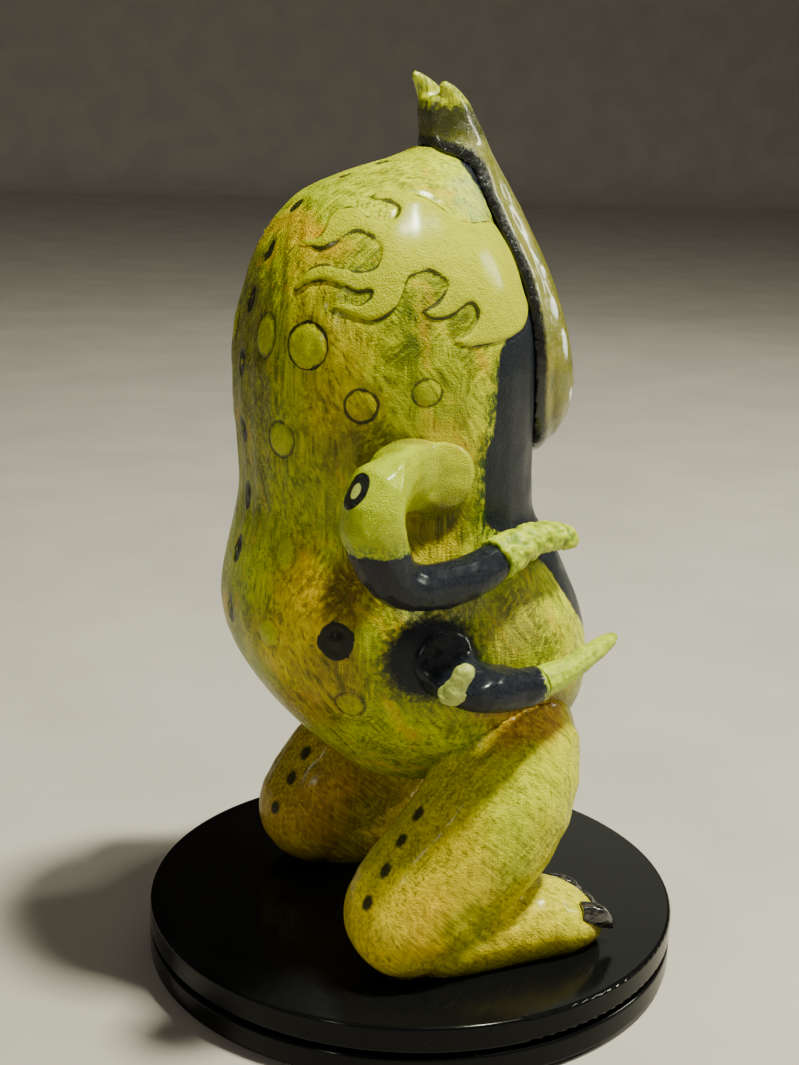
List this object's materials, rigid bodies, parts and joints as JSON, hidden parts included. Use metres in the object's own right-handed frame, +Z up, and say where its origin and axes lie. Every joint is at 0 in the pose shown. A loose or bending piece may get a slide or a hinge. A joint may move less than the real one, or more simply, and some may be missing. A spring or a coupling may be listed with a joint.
{
  "type": "vinyl art toy on a turntable",
  "caption": "Crouching horned slug creature in hand-painted soft vinyl, with tentacle arms and squat legs, on a round turning display stand.",
  "frame": {"origin": "centre of the turntable, on the surface that it stands on", "axes": "+Z up, +X the way the creature faces, +Y its left side"},
  "size_m": [0.12, 0.12, 0.1952],
  "materials": {
    "painted_vinyl": "satin hand-painted lime, olive and ochre over soft vinyl",
    "shield_vinyl": "semi-gloss olive brown",
    "navy_vinyl": "satin navy black",
    "yellow_tip": "rough sculpted, yellow green",
    "claw_gloss": "gloss black",
    "black_gloss": "polished black",
    "bearing_steel": "plain steel",
    "cage_plastic": "moulded",
    "pad_rubber": "matt"
  },
  "bodies": {
    "stand_base": {"base_disc": "black_gloss", "bearing_lower_ring": "bearing_steel", "base_screws": "bearing_steel", "rubber_pads": "pad_rubber"},
    "ball_ring": {"ball_cage": "cage_plastic", "bearing_balls": "bearing_steel"},
    "turntable": {"platter": "black_gloss", "bearing_upper_ring": "bearing_steel", "platter_screws": "bearing_steel"},
    "lower_body": {"torso_shell": "painted_vinyl", "leg_right": "painted_vinyl", "leg_left": "painted_vinyl", "toe_claws_right": "claw_gloss", "toe_claws_left": "claw_gloss"},
    "upper_body": {"head_shell": "painted_vinyl", "face_plate": "shield_vinyl"},
    "right_upper_arm": {"upper_arm_right": "navy_vinyl", "upper_arm_tip_right": "yellow_tip"},
    "left_upper_arm": {"upper_arm_left": "navy_vinyl", "upper_arm_tip_left": "yellow_tip"},
    "right_lower_arm": {"lower_arm_right": "navy_vinyl", "lower_arm_tip_right": "yellow_tip", "arm_spur_right": "yellow_tip"},
    "left_lower_arm": {"lower_arm_left": "navy_vinyl", "lower_arm_tip_left": "yellow_tip", "arm_spur_left": "yellow_tip"}
  },
  "joints": [
    {"name": "platter_spin", "type": "hinge", "parent": "stand_base", "child": "turntable", "pos_m": [0, 0, 0.0071], "axis": [0, 0, 1], "continuous": true},
    {"name": "ball_ring_spin", "type": "hinge", "parent": "stand_base", "child": "ball_ring", "pos_m": [0, 0, 0.0071], "axis": [0, 0, 1], "continuous": true},
    {"name": "figure_lift", "type": "slide", "parent": "turntable", "child": "lower_body", "axis": [0, 0, 1], "range_m": [0, 0.06]},
    {"name": "waist_turn", "type": "hinge", "parent": "lower_body", "child": "upper_body", "pos_m": [-0.009, -0.006, 0.098], "axis": [0, 0, 1], "range_deg": [-22, 22]},
    {"name": "right_upper_arm_turn", "type": "hinge", "parent": "upper_body", "child": "right_upper_arm", "pos_m": [-0.015, -0.037, 0.1195], "axis": [0, 1, 0], "range_deg": [-55, 6]},
    {"name": "left_upper_arm_turn", "type": "hinge", "parent": "upper_body", "child": "left_upper_arm", "pos_m": [-0.015, 0.025, 0.1195], "axis": [0, 1, 0], "range_deg": [-5, 56]},
    {"name": "right_lower_arm_turn", "type": "hinge", "parent": "lower_body", "child": "right_lower_arm", "pos_m": [-0.0105, -0.0402, 0.0815], "axis": [0, 1, 0], "range_deg": [-20, 10]},
    {"name": "left_lower_arm_turn", "type": "hinge", "parent": "lower_body", "child": "left_lower_arm", "pos_m": [-0.0105, 0.0282, 0.0815], "axis": [0, 1, 0], "range_deg": [-20, 10]}
  ],
  "couplings": [
    {"joint": "ball_ring_spin", "follows": "platter_spin", "ratio": 0.5}
  ]
}
